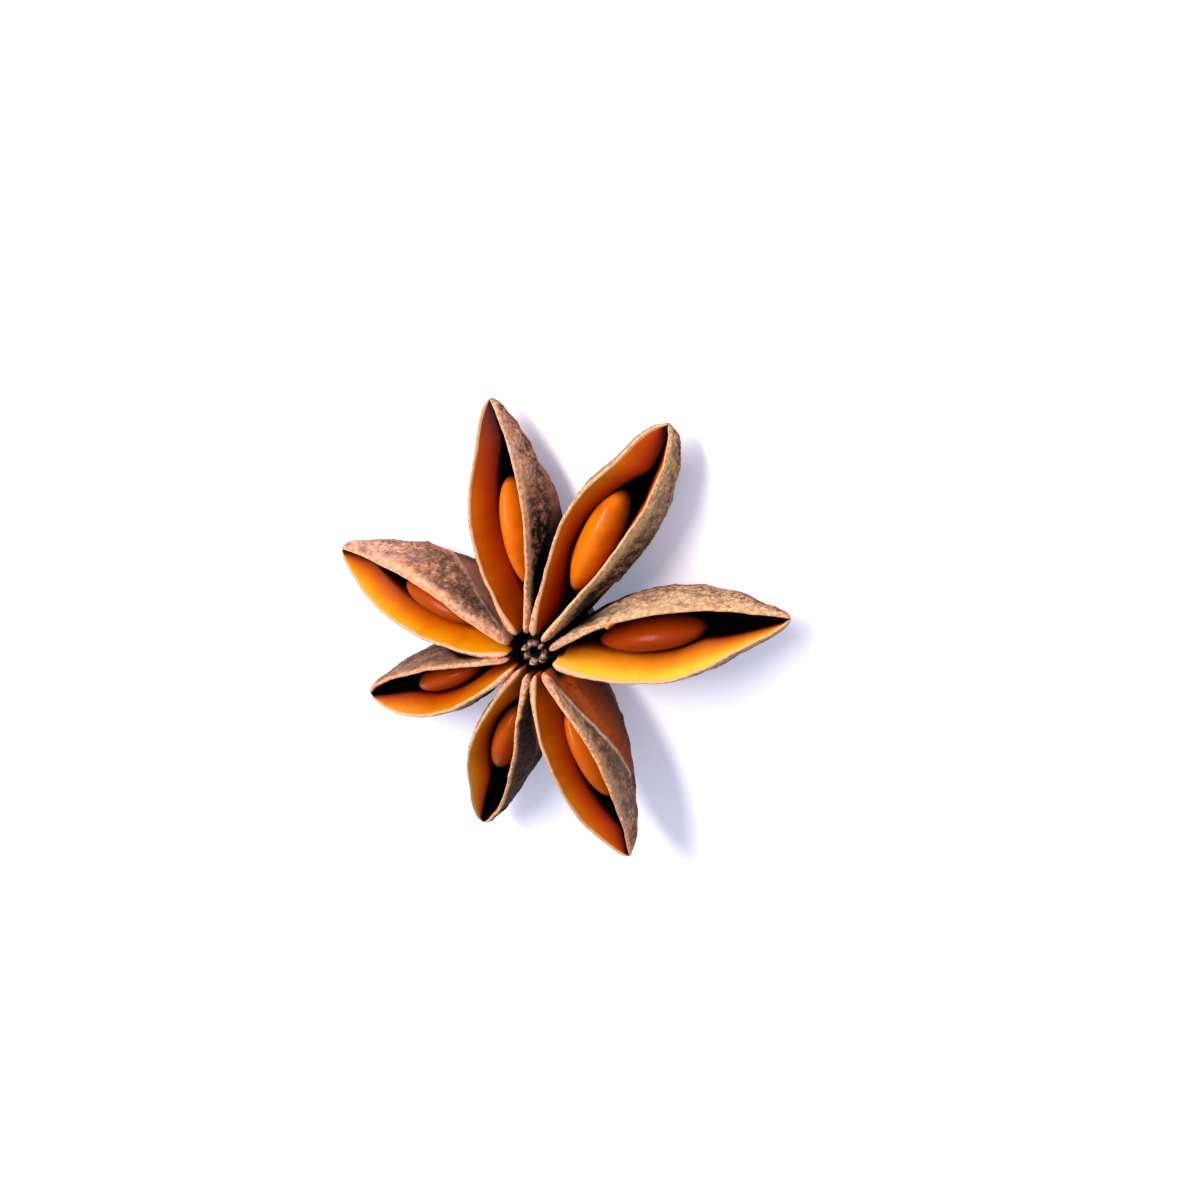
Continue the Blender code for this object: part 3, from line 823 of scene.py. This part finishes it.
# Floor, light and sky, in metres and watts.
studio = {
    "floorSize": 1.6, "floor": "#F3F3F5", "floorRoughness": 0.9, "glow": "#E2E4FF", "glowStrength": 0.28,
    "keyFrom": (114.0, 50.0),       # degrees: the side the key light stands on, and its height
    "keyDistance": 0.45, "keySize": (0.16, 0.42), "keyPower": 3.1, "key": "#FFF8F0",
    "sky": "#E2E6FF", "skyStrength": 0.66,
}

bm = bmesh.new()
bmesh.ops.create_grid(bm, x_segments=1, y_segments=1, size=studio["floorSize"] / 2)
floorMesh = bpy.data.meshes.new("floor")
bm.to_mesh(floorMesh)
bm.free()
floorFinish, _, shader, _ = newMaterial("matPaperFloor")     # smooth white paper, quite matt
shader.inputs["Base Color"].default_value = linear(studio["floor"])
shader.inputs["Roughness"].default_value = studio["floorRoughness"]
shader.inputs["Emission Color"].default_value = linear(studio["glow"])
shader.inputs["Emission Strength"].default_value = studio["glowStrength"]
floorMesh.materials.append(floorFinish)
floor = bpy.data.objects.new("floor", floorMesh)
bpy.context.scene.collection.objects.link(floor)

hub = Vector((pod["hub"][0], pod["hub"][1], pod["seamTop"])) * mm
azimuth, elevation = [math.radians(a) for a in studio["keyFrom"]]
level = math.cos(elevation)
towardsLight = Vector((level * math.cos(azimuth), level * math.sin(azimuth), math.sin(elevation)))
lamp = bpy.data.lights.new("keyLight", "AREA")
lamp.shape = "ELLIPSE"
lamp.size, lamp.size_y = studio["keySize"]
lamp.energy = studio["keyPower"]
lamp.color = linear(studio["key"])[:3]
key = bpy.data.objects.new("keyLight", lamp)
key.location = hub + towardsLight * studio["keyDistance"]
key.rotation_euler = towardsLight.to_track_quat("Z", "Y").to_euler()
bpy.context.scene.collection.objects.link(key)

world = bpy.data.worlds.new("studioSky")
world.use_nodes = True
sky = world.node_tree.nodes["Background"]
sky.inputs["Color"].default_value = linear(studio["sky"])
sky.inputs["Strength"].default_value = studio["skyStrength"]
bpy.context.scene.world = world
bpy.context.scene.view_settings.view_transform = "Standard"

# The camera stands where the photograph's did: it leans from the pod's axis to one side, and is rolled.
view = {
    "turn": 39.6, "lean": 38.3,         # degrees: the side it leans to, and how far from straight above
    "distance": 184.2,                  # mm from the hub
    "frame": 1200,                      # width and height of the picture in pixels
    "pixelsPerMm": 15.0,                # at the hub
    "hubPixel": (531.5, 653.5),         # where the hub is in the picture
    "sensor": 36,                       # mm
    "clipStart": 0.005,                 # m
}
turn, lean = math.radians(view["turn"]), math.radians(view["lean"])
towards = Vector((math.cos(turn), math.sin(turn), 0))
sideways = Vector((-math.sin(turn), math.cos(turn), 0))
above = Vector((0, 0, 1))
back = above * math.cos(lean) + towards * math.sin(lean)
outward = towards * math.cos(lean) - above * math.sin(lean)
right = math.cos(turn) * outward - math.sin(turn) * sideways
up = math.sin(turn) * outward + math.cos(turn) * sideways
spot = hub + back * (view["distance"] * mm)
offset = [(view["frame"] / 2 - pixel) / view["pixelsPerMm"] * mm for pixel in view["hubPixel"]]
target = hub + right * offset[0] - up * offset[1]
back = (spot - target).normalized()
right = up.cross(back).normalized()
up = back.cross(right)
camera = bpy.data.objects.new("camera", bpy.data.cameras.new("camera"))
camera.matrix_world = Matrix((
    (right.x, up.x, back.x, spot.x),
    (right.y, up.y, back.y, spot.y),
    (right.z, up.z, back.z, spot.z),
    (0, 0, 0, 1),
))
camera.data.sensor_width = view["sensor"]
camera.data.lens = view["pixelsPerMm"] * view["distance"] / view["frame"] * view["sensor"]
camera.data.clip_start = view["clipStart"]
bpy.context.scene.collection.objects.link(camera)
bpy.context.scene.camera = camera
print("studio made")
